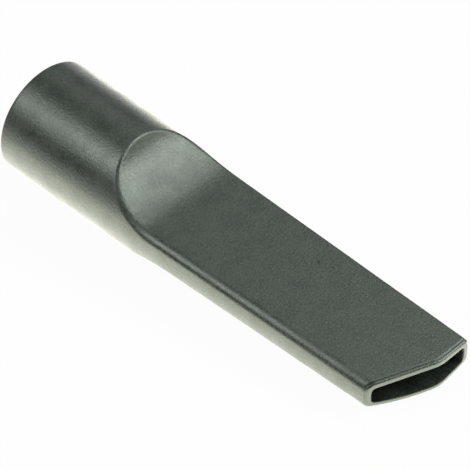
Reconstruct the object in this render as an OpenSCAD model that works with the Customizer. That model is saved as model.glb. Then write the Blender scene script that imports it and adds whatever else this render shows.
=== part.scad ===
// Crevice nozzle for a vacuum cleaner, moulded in one piece.
// A round socket pushes onto the suction tube. Ahead of it the tube is scooped down,
// above and below, into a flat tapering blade whose mouth is cut at an angle in plan.
// X runs along the suction duct from the socket rim to the mouth, Z is up,
// and the origin is on the duct's axis at the socket rim.

/* [Socket] */
// Bore of the socket, the size of the tube that it takes
socket_bore = 35; // [31.8:0.1:36]
// How deep the tube goes in before it meets the stop
socket_depth = 32; // [20:1:36]
// How far the stop stands in from the bore, all round
stop_step = 0.5; // [0.3:0.1:1.2]
// Width of the chamfer that leads the tube in
lead_in = 0.5; // [0.3:0.1:1]

/* [Tube] */
// Outside diameter at the socket rim
tube_od = 39; // [38.6:0.1:42]
// Length of the round tube, up to where the scoops start
tube_len = 42.5; // [42:0.5:60]
// Mould draft of the tube's outside, in degrees
tube_draft = 0.55; // [0.2:0.05:0.8]

/* [Blade] */
// Length of the blade, from the end of the round tube to the tip
blade_len = 116.5; // [95:0.5:160]
// Height of the flat top above the duct's axis
blade_top = 5.2; // [4.5:0.1:7]
// Depth of the underside below the duct's axis, at the middle of the scoop's run-out
blade_bottom = 7.45; // [6.5:0.05:8]
// Draft of the underside, which rises to the tip, in degrees
under_draft = 0.75; // [0:0.05:0.8]
// Length over which the sides flare out behind the scoops
neck_len = 20; // [16:0.5:22]
// How far the sides flare out over that length
neck_flare = 0.25; // [0.05:0.01:0.3]
// Draft of the blade's sides ahead of the neck, in degrees
side_draft = 1.3; // [1:0.02:1.5]
// Radius of the crown across the underside
crown_r = 56; // [45:1:90]
// Radius of the scoop that runs down to the flat top
top_scoop_r = 25.6; // [22:0.2:32]
// Radius of the scoop that runs up to the underside
bottom_scoop_r = 46; // [32:1:50]
// Radius of the top edge on the side where the mouth is cut back
near_edge_r = 1.7; // [0.8:0.1:2.4]
// Radius of the top edge on the side where the mouth reaches furthest
far_edge_r = 0.6; // [0.4:0.1:2.4]
// Radius of the edges along the bottom of the blade
bottom_edge_r = 1.3; // [0.8:0.1:3]

/* [Wall] */
// Thickness of the wall ahead of the socket
wall = 1.95; // [1.4:0.05:2.2]
// Radius of the corners inside the duct
duct_corner_r = 2; // [1:0.1:3]

/* [Mouth] */
// Angle at which the near side of the mouth is cut back, in degrees
mouth_angle = 21.5; // [0:0.5:35]
// Where the cut turns square, measured across from the axis
turn_y = 5; // [-4:0.5:8]
// Radius of that turn
turn_r = 12; // [4:1:20]
// Width of the thin lip round the top of the mouth
lip_w = 1.1; // [0.6:0.1:2]
// How far the lip is set down from the flat top
lip_step = 0.25; // [0.1:0.05:0.5]

/* [Hidden] */
$fn = 96;
eps = 0.01;
// Angle at which a scoop runs out through its flat
run_out = 2;
// Flats that stand for the radius on each long edge
edge_flats = 2;
// Steps along the turn of the mouth
turn_steps = 6;

total_len = tube_len + blade_len;
rear_r = tube_od / 2;
tube_end_r = rear_r - tube_len * tan(tube_draft);
neck_x = tube_len + neck_len;
neck_r = tube_end_r + neck_flare;
tip_r = side_r(total_len);
bore_r = socket_bore / 2;
throat_r = bore_r - stop_step;
// Reach of a cutting tool past the outside of the part
past = rear_r + 5;
crown_z = crown_r - blade_bottom;
// Height that each scoop has to drop from the round tube
top_drop = tube_end_r - blade_top;
bottom_drop = tube_end_r - blade_bottom;
top_scoop_x = tube_len + scoop_reach(top_scoop_r, top_drop);
bottom_scoop_x = tube_len + scoop_reach(bottom_scoop_r, bottom_drop);

// Distance along X over which a scoop of radius r drops by drop to its run-out
function scoop_reach(r, drop) =
    let (centre = r * cos(run_out) - drop)
    sqrt(r * r - centre * centre);

// Outside radius of the tapering blade at x, ahead of the neck
function side_r(x) = neck_r - (x - neck_x) * tan(side_draft);

// Radius of the crowned underside at x, ahead of its scoop
function crown_at(x) = crown_r - (x - bottom_scoop_x) * tan(under_draft);

// Across and up, the centre at x of a radius r that eases a long edge of the top or the underside
function edge_centre(on_top, x, r, inset) =
    let (from_axis = side_r(x) - inset - r,
         from_crown = crown_at(x) - inset - r,
         z = on_top ? blade_top - inset - r
             : (from_axis * from_axis + crown_z * crown_z - from_crown * from_crown) / (2 * crown_z))
    [sqrt(from_axis * from_axis - z * z), z];

// Point of the mouth's plan outline at angle a round the turn, from 0 (square) to mouth_angle
function turn_point(a) =
    let (tangent = turn_r * tan(mouth_angle / 2))
    [total_len - turn_r + turn_r * cos(a), turn_y + tangent - turn_r * sin(a)];

module along_x() {
    rotate([0, 90, 0]) children();
}

module across_y() {
    rotate([90, 0, 0]) children();
}

// Round outside: the drafted tube, the flaring neck and the tapering sides of the blade
module round_form() {
    along_x() cylinder(h = tube_len, r1 = rear_r, r2 = tube_end_r);
    translate([tube_len, 0, 0]) along_x()
        cylinder(h = neck_len, r1 = tube_end_r, r2 = neck_r);
    translate([neck_x, 0, 0]) along_x()
        cylinder(h = total_len - neck_x, r1 = neck_r, r2 = tip_r);
}

// All that lies above the blade's top: the scoop and the flat ahead of it
module above_blade(inset) {
    centre_z = blade_top + top_scoop_r * cos(run_out);
    translate([top_scoop_x, 0, centre_z]) across_y()
        cylinder(h = 2 * past, r = top_scoop_r + inset, center = true, $fn = 180);
    translate([top_scoop_x, -past, blade_top - inset]) cube([total_len, 2 * past, past]);
}

// All that lies below the crowned underside, turned about the crown's axis
module below_blade(inset) {
    ring_r = crown_r + bottom_scoop_r * cos(run_out);
    translate([bottom_scoop_x, 0, crown_z]) along_x() rotate([0, 0, 180]) {
        rotate_extrude($fn = 180)
            translate([ring_r, 0]) circle(r = bottom_scoop_r + inset, $fn = 180);
        rotate_extrude($fn = 180)
            polygon([[crown_r - inset, 0], [crown_r + past, 0], [crown_r + past, total_len],
                     [crown_at(bottom_scoop_x + total_len) - inset, total_len]]);
    }
}

// Flats that ease a long edge of one face, from nothing at the scoop to edge_r at the tip
module edge_ease(on_top, edge_r, inset) {
    x0 = (on_top ? top_scoop_x : bottom_scoop_x);
    start = edge_centre(on_top, x0, 0, inset);
    centre = edge_centre(on_top, total_len, edge_r, inset);
    side_angle = atan2(centre[1], centre[0]);
    face_angle = on_top ? 90 : atan2(centre[1] - crown_z, centre[0]);
    for (k = [1 : edge_flats]) {
        tilt = side_angle + k * (face_angle - side_angle) / (edge_flats + 1);
        aim = [total_len - x0,
               centre[0] + edge_r * cos(tilt) - start[0],
               centre[1] + edge_r * sin(tilt) - start[1]];
        translate([x0, start[0], start[1]])
            rotate([0, -asin(aim[2] / norm(aim)), atan2(aim[1], aim[0])])
            rotate([tilt - 90, 0, 0])
            translate([0, -past, 0]) cube([2 * total_len, 2 * past, past]);
    }
}

// All four long edges, with the near side mirrored over
module long_edges(far_r, near_r, bottom_r, inset) {
    edge_ease(true, far_r, inset);
    edge_ease(false, bottom_r, inset);
    mirror([0, 1, 0]) {
        edge_ease(true, near_r, inset);
        edge_ease(false, bottom_r, inset);
    }
}

// Plan outline that keeps what lies behind the mouth, drawn back by setback
module mouth_plan(setback) {
    far_y = -past;
    corner = turn_point(mouth_angle);
    translate([-setback, 0])
        polygon(concat(
            [[-past, past], [total_len, past]],
            [for (k = [0 : turn_steps]) turn_point(k * mouth_angle / turn_steps)],
            [[corner[0] + (far_y - corner[1]) * tan(mouth_angle), far_y], [-past, far_y]]));
}

// Stretch of the top that is set down to make the lip round the mouth
module lip_relief() {
    translate([0, 0, blade_top - lip_step]) linear_extrude(height = past)
        difference() {
            translate([top_scoop_x, -past]) square([total_len, 2 * past]);
            mouth_plan(lip_w);
        }
}

module outside() {
    difference() {
        round_form();
        above_blade(0);
        below_blade(0);
        long_edges(far_edge_r, near_edge_r, bottom_edge_r, 0);
        lip_relief();
    }
}

// Bore that the suction tube pushes into, with its lead-in chamfer
module socket() {
    translate([-eps, 0, 0]) along_x() cylinder(h = socket_depth + eps, r = bore_r);
    translate([-eps, 0, 0]) along_x()
        cylinder(h = lead_in + eps, r1 = bore_r + lead_in + eps, r2 = bore_r);
}

// Duct from the socket's stop to the mouth, one wall inside the outer form
module duct() {
    difference() {
        union() {
            translate([socket_depth - eps, 0, 0]) along_x()
                cylinder(h = tube_len - socket_depth + eps, r1 = throat_r, r2 = tube_end_r - wall);
            translate([tube_len, 0, 0]) along_x()
                cylinder(h = neck_len, r1 = tube_end_r - wall, r2 = neck_r - wall);
            translate([neck_x, 0, 0]) along_x()
                cylinder(h = total_len - neck_x + past, r1 = neck_r - wall,
                         r2 = side_r(total_len + past) - wall);
        }
        above_blade(wall);
        below_blade(wall);
        long_edges(duct_corner_r, duct_corner_r, duct_corner_r, wall);
    }
}

module crevice_nozzle() {
    color("#3c403d")
    intersection() {
        difference() {
            outside();
            socket();
            duct();
        }
        translate([0, 0, -past]) linear_extrude(height = 2 * past) mouth_plan(0);
    }
}

crevice_nozzle();
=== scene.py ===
"""Crevice nozzle: a round push-on socket scooped down into a flat blade with an angled mouth.

The nozzle is one moulded shell. Its outside and inside are level sets of one form: the drafted
round sides, cut by a scoop above and a scoop below, with rounded edges where they meet.
"""
import logging
import math
from dataclasses import dataclass, field
from enum import Enum, IntEnum

import bpy
import numpy as np
from mathutils import Matrix, Vector


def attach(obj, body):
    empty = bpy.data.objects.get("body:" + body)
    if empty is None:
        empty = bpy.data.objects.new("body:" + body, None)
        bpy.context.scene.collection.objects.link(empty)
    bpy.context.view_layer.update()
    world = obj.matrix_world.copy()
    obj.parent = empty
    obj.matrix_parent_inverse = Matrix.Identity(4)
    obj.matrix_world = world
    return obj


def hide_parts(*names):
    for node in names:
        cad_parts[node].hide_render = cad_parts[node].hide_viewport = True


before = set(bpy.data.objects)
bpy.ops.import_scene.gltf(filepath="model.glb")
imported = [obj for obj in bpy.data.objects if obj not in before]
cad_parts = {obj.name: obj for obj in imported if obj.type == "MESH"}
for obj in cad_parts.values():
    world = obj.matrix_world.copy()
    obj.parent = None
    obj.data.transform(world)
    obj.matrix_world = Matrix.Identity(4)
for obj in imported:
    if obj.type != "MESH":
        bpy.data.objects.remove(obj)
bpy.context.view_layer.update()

MM = 0.001
WHITE = (1.0, 1.0, 1.0)
LOG = logging.getLogger("crevice_nozzle")


class Axis(IntEnum):
    """Axis of the nozzle that an arc of lamps turns about, by its place in a vector."""

    ALONG = 0
    ACROSS = 1


class Blend(Enum):
    """What a Mix node blends, by the node's own name for it."""

    VALUE = "FLOAT"
    COLOUR = "RGBA"


# Input of a Mix node for the first and for the second, and its output.
MIX_SOCKETS = {Blend.VALUE: (2, 3, 0), Blend.COLOUR: (6, 7, 2)}


def smooth_step(value: np.ndarray, start: float, end: float) -> np.ndarray:
    """Runs from 0 at start to 1 at end, level at both ends.

    Args:
        value: Where to read the step.
        start: Value at which the step leaves 0.
        end: Value at which the step reaches 1.

    Returns:
        t * t * (3 - 2 t), where t is the share of the way from start to end.
    """
    share = np.clip((value - start) / (end - start), 0.0, 1.0)
    return share * share * (3.0 - 2.0 * share)


def rounded_meet(one: np.ndarray, two: np.ndarray, radius: np.ndarray) -> np.ndarray:
    """Joins two depth fields as an intersection whose edge is rounded.

    Args:
        one: Signed distance from the first surface, negative in the solid.
        two: Signed distance from the second surface.
        radius: Radius of the edge between them.

    Returns:
        The larger of the two, and within radius of the edge the distance from an arc.
    """
    inner = np.minimum(np.maximum(one, two), -radius)
    return inner + np.hypot(np.maximum(one + radius, 0.0), np.maximum(two + radius, 0.0))


def quarter_turn(count: int) -> np.ndarray:
    """Angles from 0 to 90 degrees in equal steps, in radians."""
    return np.radians(np.linspace(0.0, 90.0, count))


def larger(tree: bpy.types.NodeTree, first: bpy.types.NodeSocket,
           second: bpy.types.NodeSocket) -> bpy.types.NodeSocket:
    """Adds a Math node that gives the larger of two values."""
    node = tree.nodes.new("ShaderNodeMath")
    node.operation = "MAXIMUM"
    tree.links.new(first, node.inputs[0])
    tree.links.new(second, node.inputs[1])
    return node.outputs[0]


@dataclass(frozen=True)
class TubeForm:
    """Sizes of the round socket end, in millimetres and degrees.

    Ahead of the stop the throat opens out to the duct: throat_opens gives places along the tube,
    each with how far the throat stands wider there.
    """

    rear_r: float = 19.5
    length: float = 42.5
    draft: float = 0.55
    bore_r: float = 17.5
    bore_depth: float = 32.0
    bore_ease: float = 0.1
    stop_step: float = 0.5
    stop_ease: float = 0.15
    throat_opens: tuple[tuple[float, float], ...] = ((40.5, 0.12), (38.0, 0.08))
    throat_end: float = 0.6
    lead_in: float = 0.5
    lead_ease: float = 0.03
    rim_ease: float = 0.06
    rim_flat: float = 0.1
    rim_round: float = 0.3

    @property
    def end_r(self) -> float:
        """Outside radius where the scoops start."""
        return self.rear_r - self.length * math.tan(math.radians(self.draft))


@dataclass(frozen=True)
class BladeForm:
    """Sizes of the flat blade and its two scoops, in millimetres and degrees.

    Each edge has three radii: where the scoops start, at the end of the neck and at the tip. The
    top's near radius changes to the far one within edge_change of the middle.
    """

    length: float = 116.5
    top: float = 5.2
    bottom: float = 7.45
    under_draft: float = 0.75
    neck_length: float = 20.0
    neck_flare: float = 0.25
    side_draft: float = 1.3
    crown_r: float = 56.0
    top_scoop_r: float = 25.6
    bottom_scoop_r: float = 46.0
    run_out: float = 2.0
    wall: float = 1.95
    corner_r: float = 2.0
    near_edge: tuple[float, float, float] = (0.45, 2.2, 2.6)
    far_edge: tuple[float, float, float] = (0.45, 0.5, 0.6)
    bottom_edge: tuple[float, float, float] = (0.6, 0.8, 1.3)
    edge_change: float = 3.0


@dataclass(frozen=True)
class MouthForm:
    """Sizes of the angled mouth and its lip, in millimetres and degrees."""

    angle: float = 21.5
    turn_y: float = 5.0
    turn_r: float = 12.0
    lip_w: float = 1.1
    lip_step: float = 0.1
    groove: float = 0.2
    groove_w: float = 0.45
    outer_round: float = 0.75
    inner_round: float = 0.25
    corner_r: float = 1.1
    floor_thin: float = 0.4


@dataclass(frozen=True)
class SinkMarks:
    """Shallow hollows that the moulding leaves, as two slow waves over the skin.

    Args:
        depth: Depth of the deepest, in millimetres.
        first: Millimetres along and across for each radian of the first wave.
        second: Millimetres along, across and up for each radian of the second.
        phase: Start of the second wave, in radians.
    """

    depth: float = 0.03
    first: tuple[float, float] = (5.3, 4.1)
    second: tuple[float, float, float] = (8.9, -6.7, 9.0)
    phase: float = 1.3

    def at(self, x: np.ndarray, y: np.ndarray, z: np.ndarray) -> np.ndarray:
        """How far the skin is sunk: the depth times a half plus a quarter of both sines."""
        wave = np.sin(x / self.first[0] + y / self.first[1])
        wave = wave + np.sin(x / self.second[0] + y / self.second[1] + z / self.second[2] + self.phase)
        return self.depth * (0.5 + wave / 4.0)


@dataclass(frozen=True)
class MeshPlan:
    """How close the shell's points lie, in millimetres and degrees.

    The points are close where the form turns fast: over the scoops, round the blade's long edges
    and at the mouth.
    """

    # Angles round the axis. They crowd at the slants of the long edges, each given with a width.
    around: int = 300
    fine_around: int = 7201
    crowding: float = 1.6
    top_slant: tuple[float, float] = (17.0, 7.0)
    bottom_slant: tuple[float, float] = (-13.0, 8.0)
    # Rings of each round edge, and across the mouth's front face.
    edge_rings: int = 5
    lip_rings: int = 12
    face_rings: int = 5
    # Rings of the tube, from tube_start to tube_end short of where the scoops start.
    tube_rings: int = 12
    tube_start: float = 1.2
    tube_end: float = 1.6
    # Rings of the scoops, from scoop_lead behind their start to scoop_past ahead of their end.
    scoop_lead: float = 1.2
    scoop_past: float = 1.0
    scoop_step: float = 0.25
    # Rings of the blade, up to each end.
    neck_end: float = 77.0
    neck_step: float = 0.5
    blade_end: float = 141.0
    blade_step: float = 2.0
    mouth_gap: float = 0.9
    mouth_step: float = 1.0
    # Rings of the lip, from lip_start behind it to lip_gap short of its round edge.
    lip_start: float = 0.5
    lip_gap: float = 0.02
    lip_step: float = 0.05
    # Rings of the duct, from duct_start behind the mouth, and then of the socket's bore.
    duct_start: float = 1.2
    duct_step: float = 2.2
    duct_neck_step: float = 0.8
    bore_rings: int = 7
    bore_start: float = 28.0
    bore_gap: float = 0.3
    # Search for the skin along a ray: its length, and how often it is halved.
    reach: float = 24.0
    halvings: int = 34


@dataclass
class Ring:
    """One closed line round the shell.

    Args:
        station: Distance along the nozzle, before the mouth's angle draws it back.
        inset: Depth under the outer form.
    """

    station: float
    inset: float


@dataclass
class NozzleShell:
    """The moulded shell, built as one closed surface.

    From warp_start to warp_end along the nozzle, its rings lean over to the mouth's outline.
    """

    tube: TubeForm = field(default_factory=TubeForm)
    blade: BladeForm = field(default_factory=BladeForm)
    mouth: MouthForm = field(default_factory=MouthForm)
    sinks: SinkMarks = field(default_factory=SinkMarks)
    plan: MeshPlan = field(default_factory=MeshPlan)
    warp_start: float = 100.0
    warp_end: float = 151.0

    @property
    def total(self) -> float:
        """Length from the socket rim to the tip."""
        return self.tube.length + self.blade.length

    def scoop_x(self, radius: float, drop: float) -> float:
        """Place of a scoop's centre along the nozzle.

        Args:
            radius: Radius of the scoop.
            drop: Height that it falls from the tube to its run-out.

        Returns:
            The tube's length plus the chord that falls by drop.
        """
        centre = radius * math.cos(math.radians(self.blade.run_out)) - drop
        return self.tube.length + math.sqrt(radius * radius - centre * centre)

    def side_r(self, x: np.ndarray) -> np.ndarray:
        """Outside radius at x: the tube's draft, the neck's flare and the blade's own draft."""
        tube, blade = self.tube, self.blade
        neck_x, neck_r = tube.length + blade.neck_length, tube.end_r + blade.neck_flare
        tip_r = neck_r - (self.total - neck_x) * math.tan(math.radians(blade.side_draft))
        marks = [0.0, tube.length, neck_x, self.total]
        return np.interp(x, marks, [tube.rear_r, tube.end_r, neck_r, tip_r])

    def mouth_x(self, y: np.ndarray) -> np.ndarray:
        """Reach of the mouth at y: square on one side, an arc, then a straight slant back."""
        angle = math.radians(self.mouth.angle)
        radius = self.mouth.turn_r
        start = self.mouth.turn_y + radius * math.tan(angle / 2)
        end = start - radius * math.sin(angle)
        arc = self.total - radius + np.sqrt(radius**2 - np.clip(start - y, 0.0, start - end) ** 2)
        return arc + np.minimum(y - end, 0.0) * math.tan(angle)

    def drawn_back(self, station: np.ndarray, y: np.ndarray) -> np.ndarray:
        """Place along X of a station at y: towards the mouth it takes the mouth's own outline."""
        share = smooth_step(station, self.warp_start, self.warp_end)
        return station - share * (self.total - self.mouth_x(y))

    def top_depth(self, x: np.ndarray, y: np.ndarray, z: np.ndarray) -> np.ndarray:
        """Signed distance above the top: the scoop's circle, then the flat with its lip."""
        radius = self.blade.top_scoop_r
        centre_x = self.scoop_x(radius, self.tube.end_r - self.blade.top)
        centre_z = self.blade.top + radius * math.cos(math.radians(self.blade.run_out))
        scoop = radius - np.hypot(x - centre_x, z - centre_z)
        flat = z - (centre_z - radius)
        to_mouth = self.mouth_x(y) - x
        lip_w, groove_w = self.mouth.lip_w, self.mouth.groove_w
        step = self.mouth.lip_step * (1.0 - smooth_step(to_mouth, lip_w, lip_w + groove_w / 2))
        groove = self.mouth.groove * np.exp(-(((to_mouth - lip_w) / (groove_w / 2)) ** 2))
        return np.where(x < centre_x, scoop, flat) + step + groove

    def bottom_depth(self, x: np.ndarray, y: np.ndarray, z: np.ndarray) -> np.ndarray:
        """Signed distance below the underside, measured out from the crown's axis."""
        radius = self.blade.bottom_scoop_r
        centre_x = self.scoop_x(radius, self.tube.end_r - self.blade.bottom)
        ring_r = self.blade.crown_r + radius * math.cos(math.radians(self.blade.run_out))
        out = np.hypot(y, z - (self.blade.crown_r - self.blade.bottom))
        scoop = radius - np.hypot(x - centre_x, out - ring_r)
        rise = (x - centre_x) * math.tan(math.radians(self.blade.under_draft))
        return np.where(x < centre_x, scoop, out - (ring_r - radius) + rise)

    def depth(self, x: np.ndarray, y: np.ndarray, z: np.ndarray, inset: np.ndarray) -> np.ndarray:
        """Signed distance from the skin that lies inset under the outer form.

        Args:
            x: Points' place along the nozzle.
            y: Points' place across.
            z: Points' height.
            inset: Depth of the skin at each point.

        Returns:
            Round side, top and underside joined by rounded edges, plus the inset. The edges
            grow along the blade, and inside they keep the duct's own corner radius, which
            tightens towards the mouth, where the duct's floor also thins a little.
        """
        blade, mouth = self.blade, self.mouth
        marks = [self.tube.length, self.tube.length + blade.neck_length, self.total]
        inside = np.clip(inset / blade.wall, 0.0, 1.0)
        at_mouth = smooth_step(x, self.warp_start, self.warp_end)
        duct_edge = inset + (blade.corner_r + (mouth.corner_r - blade.corner_r) * at_mouth)
        edges = []
        for radii in (blade.near_edge, blade.far_edge, blade.bottom_edge):
            outer = np.interp(x, marks, radii)
            edges.append(outer + (duct_edge - outer) * inside)
        near, far, bottom = edges
        top = near + (far - near) * smooth_step(y, -blade.edge_change, blade.edge_change)
        side = np.hypot(y, z) - self.side_r(x)
        form = rounded_meet(side, self.top_depth(x, y, z), top)
        underside = self.bottom_depth(x, y, z) - mouth.floor_thin * at_mouth * inside
        form = rounded_meet(form, underside, bottom)
        return form + inset + self.sinks.at(x, y, z)

    def angles(self) -> np.ndarray:
        """Angles round the axis, closer together where the blade's long edges run.

        Returns:
            Angles at equal steps of the running sum of a density. The density is 1 plus the
            crowding times a bell curve of the slant round the top edges and one round the
            bottom edges, where the slant is the angle over the horizontal from either side.
        """
        plan = self.plan
        fine = np.linspace(0.0, 2.0 * np.pi, plan.fine_around)
        slant = np.degrees(np.arctan2(np.sin(fine), np.abs(np.cos(fine))))
        near_top, near_bottom = [
            np.exp(-(((slant - centre) / width) ** 2))
            for centre, width in (plan.top_slant, plan.bottom_slant)
        ]
        density = 1.0 + plan.crowding * (near_top + near_bottom)
        total = np.concatenate([[0.0], np.cumsum((density[1:] + density[:-1]) / 2)])
        steps = np.linspace(0.0, total[-1], plan.around, endpoint=False)
        return np.interp(steps, total, fine)

    def outer_rings(self) -> list[Ring]:
        """Rings of the outside, from the socket rim to the mouth."""
        plan, length, total = self.plan, self.tube.length, self.total
        lip, edge, rim = self.mouth.lip_w, self.mouth.outer_round, self.tube.rim_round
        scoop_end = self.scoop_x(self.blade.top_scoop_r, self.tube.end_r - self.blade.top)
        past_scoop = scoop_end + plan.scoop_past
        stations = np.concatenate([
            np.linspace(plan.tube_start, length - plan.tube_end, plan.tube_rings),
            np.arange(length - plan.scoop_lead, past_scoop, plan.scoop_step),
            np.arange(past_scoop + plan.neck_step, plan.neck_end, plan.neck_step),
            np.arange(plan.neck_end + plan.blade_step, plan.blade_end, plan.blade_step),
            np.arange(plan.blade_end + plan.mouth_step, total - lip - plan.mouth_gap, plan.mouth_step),
            total - np.arange(lip + plan.lip_start, edge + plan.lip_gap, -plan.lip_step),
        ])
        rings = [
            Ring(rim * (1 - math.cos(a)), rim * (1 - math.sin(a)))
            for a in quarter_turn(plan.edge_rings)
        ]
        rings += [Ring(float(s), 0.0) for s in stations]
        rings += [
            Ring(total - edge * (1 - math.sin(a)), edge * (1 - math.cos(a)))
            for a in quarter_turn(plan.lip_rings)
        ]
        return rings

    def rim_rings(self) -> list[Ring]:
        """Rings across the mouth's front face, and round its inner edge."""
        plan, wall, edge = self.plan, self.blade.wall, self.mouth.inner_round
        across = np.linspace(self.mouth.outer_round, wall - edge, plan.face_rings)[1:]
        rings = [Ring(self.total, float(i)) for i in across]
        rings += [
            Ring(self.total - edge * (1 - math.cos(a)), wall - edge * (1 - math.sin(a)))
            for a in quarter_turn(plan.edge_rings)[1:]
        ]
        return rings

    def bore_profile(self) -> list[tuple[float, float]]:
        """Places along the tube and radii of its inside, from the duct back to the rim."""
        tube, plan = self.tube, self.plan
        stop, bore_r, throat_r = tube.bore_depth, tube.bore_r, tube.bore_r - tube.stop_step
        rim_r = bore_r + tube.lead_in
        profile = [(tube.length - tube.throat_end, tube.end_r - self.blade.wall)]
        profile += [(place, throat_r + wider) for place, wider in tube.throat_opens]
        profile += [(stop + tube.stop_ease, throat_r), (stop, throat_r + tube.stop_ease)]
        profile += [(stop, bore_r - tube.bore_ease), (stop - tube.bore_ease, bore_r)]
        bore = np.linspace(plan.bore_start, tube.lead_in + plan.bore_gap, plan.bore_rings)
        profile += [(float(place), bore_r) for place in bore]
        profile += [(tube.lead_in, bore_r + tube.lead_ease), (tube.rim_ease, rim_r - tube.rim_ease)]
        profile += [(0.0, rim_r + tube.rim_flat)]
        return profile

    def inner_rings(self) -> list[Ring]:
        """Rings of the duct and the socket, from the mouth back to the rim."""
        plan = self.plan
        duct = np.concatenate([
            np.arange(self.total - plan.duct_start, plan.neck_end, -plan.duct_step),
            np.arange(plan.neck_end, self.tube.length, -plan.duct_neck_step),
        ])
        rings = [Ring(float(s), self.blade.wall) for s in duct]
        places, radii = np.array(self.bore_profile()).T
        insets = self.side_r(places) - radii
        rings += [Ring(float(place), float(inset)) for place, inset in zip(places, insets)]
        return rings

    def points(self, rings: list[Ring]) -> np.ndarray:
        """Points of every ring at every angle.

        Args:
            rings: The rings, in order over the closed surface.

        Returns:
            Array of rings by angles by 3, in millimetres. On each ray from the axis the skin is
            where the depth changes sign, found by halving the ray again and again.
        """
        angle = self.angles()[None, :]
        station = np.array([r.station for r in rings])[:, None]
        inset = np.array([r.inset for r in rings])[:, None]
        low = np.zeros((len(rings), self.plan.around))
        high = np.full_like(low, self.plan.reach)
        for _ in range(self.plan.halvings):
            middle = (low + high) / 2
            y, z = middle * np.cos(angle), middle * np.sin(angle)
            inside = self.depth(self.drawn_back(station, y), y, z, inset) < 0.0
            low = np.where(inside, middle, low)
            high = np.where(inside, high, middle)
        y, z = low * np.cos(angle), low * np.sin(angle)
        return np.stack([self.drawn_back(station, y), y, z], axis=-1)

    def build(self) -> bpy.types.Object:
        """Makes the shell's mesh.

        Returns:
            The object, with its place in its mesh and its faces pointing outwards. Each point is
            joined to the next round its ring and to the same one on the next ring, and the last
            ring to the first.
        """
        rings = self.outer_rings() + self.rim_rings() + self.inner_rings()
        grid = self.points(rings) * MM
        rows, columns = grid.shape[:2]
        index = np.arange(rows * columns).reshape(rows, columns)
        beside = np.roll(index, -1, axis=1)
        ahead = np.roll(index, -1, axis=0)
        across = np.roll(ahead, -1, axis=1)
        quads = np.stack([index, beside, across, ahead], axis=-1).reshape(-1, 4)
        mesh = bpy.data.meshes.new("nozzle_shell")
        mesh.from_pydata(grid.reshape(-1, 3), [], quads)
        mesh.polygons.foreach_set("use_smooth", np.ones(len(quads), bool))
        mesh.update()
        shell = bpy.data.objects.new("nozzle_shell", mesh)
        bpy.context.scene.collection.objects.link(shell)
        LOG.info("nozzle_shell: %d rings, %d triangles", rows, 2 * len(quads))
        return shell


@dataclass(frozen=True)
class Fleck:
    """A small dark mark in the blade's flat top, in millimetres and degrees."""

    centre: tuple[float, float, float]
    turn: float
    half_size: tuple[float, float]
    depth_reach: float = 1.0


FLECKS = (
    Fleck((107.6, 9.3, 5.2), -32.0, (1.25, 0.42)),
    Fleck((112.1, 10.5, 5.2), 0.0, (0.55, 0.5)),
)


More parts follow.
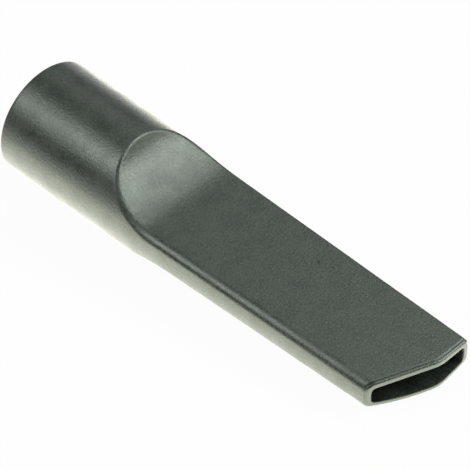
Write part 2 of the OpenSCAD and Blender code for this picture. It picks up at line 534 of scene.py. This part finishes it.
@dataclass(frozen=True)
class SatinPlastic:
    """Dark grey moulded plastic with a satin skin, cloudy mottling and a fine grain.

    The roughness runs over its two values as the mottling runs over rough_from. A fleck fades in
    over fleck_fade, as distances from its centre in its own half sizes.
    """

    dark: tuple[float, float, float] = (0.008, 0.012, 0.009)
    pale: tuple[float, float, float] = (0.034, 0.042, 0.034)
    ramp: tuple[float, float] = (0.41, 0.59)
    edge_tint: tuple[float, float, float] = (0.84, 1.0, 0.83)
    roughness: tuple[float, float] = (0.32, 0.50)
    rough_from: tuple[float, float] = (0.3, 0.7)
    ior: float = 1.8
    coat: float = 0.5
    coat_roughness: float = 0.25
    fleck: tuple[float, float, float] = (0.004, 0.005, 0.004)
    fleck_roughness: float = 0.85
    fleck_fade: tuple[float, float] = (1.2, 0.5)
    mottle_per_m: float = 160.0
    mottle_detail: float = 4.0
    mottle_share: float = 0.35
    mottle_depth: float = 0.00006
    grain_per_m: float = 1400.0
    grain_detail: float = 2.0
    grain_depth: float = 0.00014

    def material(self) -> bpy.types.Material:
        """Builds the node tree.

        Returns:
            A Principled material: cloudy mottling and fine grain mixed into the colour, the
            mottling in the roughness, both as bump, and the flecks darker and duller.
        """
        material = bpy.data.materials.new("satin_plastic")
        material.use_nodes = True
        tree = material.node_tree
        nodes, links = tree.nodes, tree.links
        nodes.clear()
        out = nodes.new("ShaderNodeOutputMaterial")
        skin = nodes.new("ShaderNodeBsdfPrincipled")
        skin.inputs["IOR"].default_value = self.ior
        skin.inputs["Specular Tint"].default_value = (*self.edge_tint, 1.0)
        skin.inputs["Coat Weight"].default_value = self.coat
        skin.inputs["Coat Roughness"].default_value = self.coat_roughness
        place = nodes.new("ShaderNodeTexCoord").outputs["Object"]
        mottle = self.noise(tree, place, self.mottle_per_m, self.mottle_detail)
        grain = self.noise(tree, place, self.grain_per_m, self.grain_detail)
        blend = self.mix(tree, self.mottle_share, grain, mottle, Blend.VALUE)
        colour = nodes.new("ShaderNodeValToRGB")
        colour.color_ramp.elements[0].position = self.ramp[0]
        colour.color_ramp.elements[0].color = (*self.dark, 1.0)
        colour.color_ramp.elements[1].position = self.ramp[1]
        colour.color_ramp.elements[1].color = (*self.pale, 1.0)
        links.new(blend, colour.inputs["Fac"])
        rough = self.remap(tree, mottle, self.rough_from, self.roughness)
        marked = self.flecks(tree, place)
        shade = self.mix(tree, marked, colour.outputs["Color"], (*self.fleck, 1.0), Blend.COLOUR)
        dull = self.mix(tree, marked, rough, self.fleck_roughness, Blend.VALUE)
        links.new(shade, skin.inputs["Base Color"])
        links.new(dull, skin.inputs["Roughness"])
        slow = self.bump(tree, mottle, self.mottle_depth)
        fine = self.bump(tree, grain, self.grain_depth)
        links.new(slow.outputs["Normal"], fine.inputs["Normal"])
        links.new(fine.outputs["Normal"], skin.inputs["Normal"])
        links.new(skin.outputs["BSDF"], out.inputs["Surface"])
        return material

    def noise(self, tree: bpy.types.NodeTree, place: bpy.types.NodeSocket,
              per_m: float, detail: float) -> bpy.types.NodeSocket:
        """Adds a noise pattern on the object's own coordinates.

        Args:
            tree: Node tree that gets the node.
            place: The object's coordinates.
            per_m: Lumps of the pattern per metre.
            detail: Octaves of finer lumps.

        Returns:
            The pattern's value, from 0 to 1.
        """
        pattern = tree.nodes.new("ShaderNodeTexNoise")
        pattern.inputs["Scale"].default_value = per_m
        pattern.inputs["Detail"].default_value = detail
        tree.links.new(place, pattern.inputs["Vector"])
        return pattern.outputs["Fac"]

    def bump(self, tree: bpy.types.NodeTree, height: bpy.types.NodeSocket,
             depth: float) -> bpy.types.Node:
        """Adds a bump node that raises a pattern by depth metres."""
        node = tree.nodes.new("ShaderNodeBump")
        node.inputs["Distance"].default_value = depth
        tree.links.new(height, node.inputs["Height"])
        return node

    def remap(self, tree: bpy.types.NodeTree, value: bpy.types.NodeSocket,
              start: tuple[float, float], end: tuple[float, float]) -> bpy.types.NodeSocket:
        """Adds a node that carries the range start over to the range end, and clamps there.

        Args:
            tree: Node tree that gets the node.
            value: What is carried over.
            start: Values that give the first and the second of end.
            end: Values given for them.

        Returns:
            The value in its new range.
        """
        node = tree.nodes.new("ShaderNodeMapRange")
        node.inputs["From Min"].default_value = start[0]
        node.inputs["From Max"].default_value = start[1]
        node.inputs["To Min"].default_value = end[0]
        node.inputs["To Max"].default_value = end[1]
        tree.links.new(value, node.inputs["Value"])
        return node.outputs["Result"]

    def mix(self, tree: bpy.types.NodeTree, share: bpy.types.NodeSocket | float,
            first: bpy.types.NodeSocket | float | tuple, second: bpy.types.NodeSocket | float | tuple,
            kind: Blend) -> bpy.types.NodeSocket:
        """Blends two colours or two values.

        Args:
            tree: Node tree that gets the node.
            share: Weight of the second, from 0 to 1.
            first: Socket, colour or value.
            second: Socket, colour or value.
            kind: Whether they are colours or values.

        Returns:
            The blend.
        """
        node = tree.nodes.new("ShaderNodeMix")
        node.data_type = kind.value
        first_input, second_input, output = MIX_SOCKETS[kind]
        for number, value in ((0, share), (first_input, first), (second_input, second)):
            if isinstance(value, bpy.types.NodeSocket):
                tree.links.new(value, node.inputs[number])
            else:
                node.inputs[number].default_value = value
        return node.outputs[output]

    def flecks(self, tree: bpy.types.NodeTree, place: bpy.types.NodeSocket) -> bpy.types.NodeSocket:
        """Marks the flecks.

        Args:
            tree: Node tree that gets the nodes.
            place: The object's coordinates.

        Returns:
            1 in a fleck, falling to 0 at its edge. Each is an ellipsoid: the distance from its
            centre, with each axis divided by the fleck's half size.
        """
        marked = None
        for mark in FLECKS:
            local = tree.nodes.new("ShaderNodeMapping")
            local.vector_type = "TEXTURE"
            local.inputs["Location"].default_value = [c * MM for c in mark.centre]
            local.inputs["Rotation"].default_value = (0.0, 0.0, math.radians(mark.turn))
            local.inputs["Scale"].default_value = [s * MM for s in (*mark.half_size, mark.depth_reach)]
            tree.links.new(place, local.inputs["Vector"])
            away = tree.nodes.new("ShaderNodeVectorMath")
            away.operation = "LENGTH"
            tree.links.new(local.outputs["Vector"], away.inputs[0])
            inside = self.remap(tree, away.outputs["Value"], self.fleck_fade, (0.0, 1.0))
            marked = inside if marked is None else larger(tree, marked, inside)
        return marked


def area_lamp(name: str, centre: Vector, turn: Matrix, size: tuple[float, float],
              radiance: float, tint: tuple[float, float, float] = WHITE) -> None:
    """Makes a rectangular lamp that the camera doesn't see.

    Args:
        name: Name of the lamp.
        centre: Its place.
        turn: Its turn; it shines towards its own -Z.
        size: Width and height in metres.
        radiance: Brightness of its face, where 1 is white. Its power is its radiance times pi
            times its area.
        tint: Its colour.
    """
    lamp = bpy.data.lights.new(name, "AREA")
    lamp.shape = "RECTANGLE"
    lamp.size, lamp.size_y = size
    lamp.energy = radiance * math.pi * size[0] * size[1]
    lamp.color = tint
    holder = bpy.data.objects.new(name, lamp)
    holder.location = centre
    holder.rotation_euler = turn.to_euler()
    holder.visible_camera = False
    bpy.context.scene.collection.objects.link(holder)


@dataclass(frozen=True)
class Softbox:
    """A rectangular studio light that faces the nozzle.

    Args:
        name: Name of the lamp.
        toward: Direction from the nozzle to the lamp.
        size: Width and height in metres.
        radiance: Brightness of its face, where 1 is white.
        distance: Metres from the nozzle.
    """

    name: str
    toward: tuple[float, float, float]
    size: tuple[float, float]
    radiance: float
    distance: float = 0.9

    def place(self, target: Vector) -> None:
        """Makes the lamp, aimed at target."""
        away = Vector(self.toward).normalized()
        turn = away.to_track_quat("Z", "Y").to_matrix()
        area_lamp(self.name, target + away * self.distance, turn, self.size, self.radiance)


@dataclass(frozen=True)
class LampArc:
    """Softboxes edge to edge on an arc, so that one curved form keeps one soft highlight.

    Args:
        name: Name of the lamps.
        axis: The nozzle's axis that the arc turns about.
        along: Share of each direction that lies along that axis.
        first: Angle of the first softbox over the floor, in degrees.
        step: Angle from one softbox to the next.
        radiances: Brightness of each softbox.
        width: Width across the arc, in metres.
        distance: Metres from the nozzle.
    """

    name: str
    axis: Axis
    along: float
    first: float
    step: float
    radiances: tuple[float, ...]
    width: float
    distance: float = 0.9

    def place(self, target: Vector) -> None:
        """Makes the softboxes, aimed at target.

        Args:
            target: Point that they face. What a direction has left beside its share along the
                axis is split by the angle's cosine and sine, and each box lies along the arc.
        """
        other = Axis(1 - self.axis)
        rest = math.sqrt(1.0 - self.along**2)
        length = 2.0 * self.distance * rest * math.tan(math.radians(abs(self.step) / 2.0))
        for number, radiance in enumerate(self.radiances):
            angle = math.radians(self.first + number * self.step)
            away, tangent = Vector(), Vector()
            away[self.axis] = self.along
            away[other], away[2] = rest * math.cos(angle), rest * math.sin(angle)
            tangent[other], tangent[2] = -math.sin(angle), math.cos(angle)
            turn = Matrix((tangent.cross(away), tangent, away)).transposed()
            area_lamp(f"{self.name}_{number + 1}", target + away * self.distance, turn,
                      (self.width, length), radiance)


@dataclass
class Studio:
    """Pale floor, soft lamps and the camera.

    Lengths are in millimetres, apart from floor_half, table_gap and the lens's clip distances,
    which are in metres. The floor runs through floor_rear and floor_tip, each given along and up.
    """

    floor_rear: tuple[float, float] = (0.0, -19.5)
    floor_tip: tuple[float, float] = (159.0, -6.3)
    floor_half: float = 3.0
    floor_white: float = 0.82
    backdrop_share: float = 0.96
    room: float = 0.1
    table_near: tuple[float, float] = (-70.0, -70.0)
    table_far: tuple[float, float] = (240.0, 220.0)
    table_gap: float = 0.0001
    table_radiance: float = 1.7
    table_tint: tuple[float, float, float] = (1.0, 0.97, 0.82)
    lamps: tuple[Softbox | LampArc, ...] = (
        Softbox("far_low", (-0.49, 0.87, 0.05), (0.9, 0.22), 0.6),
        Softbox("far_top", (-0.49, 0.58, 0.65), (0.5, 0.35), 0.6),
        Softbox("overhead", (0.0, 0.0, 1.0), (1.0, 1.0), 0.43),
        LampArc("front", Axis.ACROSS, along=0.50, first=35.0, step=20.0,
                radiances=(7.0, 6.0, 4.4, 2.8), width=0.32),
        LampArc("rear", Axis.ALONG, along=-0.49, first=141.0, step=-16.0,
                radiances=(2.6, 5.0, 2.0), width=0.35),
    )
    aim: tuple[float, float, float] = (78.762, 3.765, 0.0)
    camera_at: tuple[float, float, float] = (445.60, -372.24, 531.77)
    sensor: float = 36.0
    focal_px: float = 2500.0
    image_px: float = 470.0
    clip: tuple[float, float] = (0.01, 20.0)

    @property
    def run(self) -> float:
        """Distance along the nozzle between the floor's two points."""
        return self.floor_tip[0] - self.floor_rear[0]

    @property
    def rise(self) -> float:
        """Height of the floor's tip point over its rear point."""
        return self.floor_tip[1] - self.floor_rear[1]

    def camera(self) -> None:
        """Makes the camera at the photograph's viewing angle, level with the horizon."""
        lens = bpy.data.cameras.new("camera")
        lens.sensor_width = self.sensor
        lens.lens = self.sensor * self.focal_px / self.image_px
        lens.clip_start, lens.clip_end = self.clip
        holder = bpy.data.objects.new("camera", lens)
        place = Vector(self.camera_at) * MM
        holder.location = place
        away = place - Vector(self.aim) * MM
        holder.rotation_euler = away.to_track_quat("Z", "Y").to_euler()
        bpy.context.scene.collection.objects.link(holder)
        bpy.context.scene.camera = holder

    def floor(self) -> None:
        """Makes the floor: a plane through the rim's lowest point and the tip's.

        The end of the tube, which hangs lower than a line between those two, dips through it.
        """
        half = self.floor_half
        x, y = np.meshgrid([-half, half], [-half, half], indexing="xy")
        z = self.floor_rear[1] * MM + self.rise / self.run * x
        corners = np.stack([x, y, z], axis=-1).reshape(-1, 3)
        mesh = bpy.data.meshes.new("floor")
        mesh.from_pydata(corners, [], np.array([[0, 1, 3, 2]]))
        mesh.update()
        plane = bpy.data.objects.new("floor", mesh)
        bpy.context.scene.collection.objects.link(plane)
        plane.data.materials.append(self.floor_material())

    def seen(self, tree: bpy.types.NodeTree) -> bpy.types.NodeSocket:
        """Value of 1 on camera, glossy and transmission rays, from the Light Path node."""
        path = tree.nodes.new("ShaderNodeLightPath").outputs
        either = larger(tree, path["Is Camera Ray"], path["Is Glossy Ray"])
        return larger(tree, either, path["Is Transmission Ray"])

    def floor_material(self) -> bpy.types.Material:
        """White card that looks white to the eye and in reflections, and keeps a soft shadow."""
        material = bpy.data.materials.new("white_card")
        material.use_nodes = True
        nodes, links = material.node_tree.nodes, material.node_tree.links
        nodes.clear()
        out = nodes.new("ShaderNodeOutputMaterial")
        card = nodes.new("ShaderNodeBsdfDiffuse")
        card.inputs["Color"].default_value = (*[self.floor_white] * 3, 1.0)
        glow = nodes.new("ShaderNodeEmission")
        glow.inputs["Color"].default_value = (*WHITE, 1.0)
        share = nodes.new("ShaderNodeMath")
        share.operation = "MULTIPLY"
        share.inputs[1].default_value = self.backdrop_share
        links.new(self.seen(material.node_tree), share.inputs[0])
        mix = nodes.new("ShaderNodeMixShader")
        links.new(share.outputs[0], mix.inputs[0])
        links.new(card.outputs[0], mix.inputs[1])
        links.new(glow.outputs[0], mix.inputs[2])
        links.new(mix.outputs[0], out.inputs["Surface"])
        return material

    def world(self) -> None:
        """White to the camera, and a dim even room to every other ray."""
        world = bpy.data.worlds.new("studio")
        world.use_nodes = True
        bpy.context.scene.world = world
        nodes, links = world.node_tree.nodes, world.node_tree.links
        nodes.clear()
        out = nodes.new("ShaderNodeOutputWorld")
        path = nodes.new("ShaderNodeLightPath")
        room = nodes.new("ShaderNodeBackground")
        room.inputs["Color"].default_value = (*WHITE, 1.0)
        room.inputs["Strength"].default_value = self.room
        white = nodes.new("ShaderNodeBackground")
        white.inputs["Color"].default_value = (*WHITE, 1.0)
        mix = nodes.new("ShaderNodeMixShader")
        links.new(path.outputs["Is Camera Ray"], mix.inputs[0])
        links.new(room.outputs[0], mix.inputs[1])
        links.new(white.outputs[0], mix.inputs[2])
        links.new(mix.outputs[0], out.inputs["Surface"])

    def light_table(self) -> None:
        """Places a soft lamp flat on the floor, facing up, which lights the sides from below."""
        along = Vector((self.run, 0.0, self.rise)).normalized()
        down = Vector((self.rise, 0.0, -self.run)).normalized()
        turn = Matrix((along, down.cross(along), down)).transposed()
        low, high = Vector(self.table_near) * MM, Vector(self.table_far) * MM
        middle, size = (low + high) / 2.0, high - low
        centre = Vector((*middle, self.floor_rear[1] * MM + self.rise / self.run * middle[0]))
        area_lamp("light_table", centre - down * self.table_gap, turn, tuple(size),
                  self.table_radiance, self.table_tint)

    def build(self) -> None:
        """Sets up camera, floor, world and lamps, each lamp where a highlight calls for it."""
        self.camera()
        self.floor()
        self.world()
        for lamp in self.lamps:
            lamp.place(Vector(self.aim) * MM)
        self.light_table()
        bpy.context.scene.view_settings.view_transform = "Standard"


def main() -> None:
    """Builds the studio and the nozzle, in order, and logs the shell's count of rings and triangles.
    """
    logging.basicConfig(level=logging.INFO, format="%(message)s")
    Studio().build()
    shell = NozzleShell().build()
    shell.data.materials.append(SatinPlastic().material())
    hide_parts("crevice_nozzle")
    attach(shell, "root")


if __name__ == "__main__":
    main()
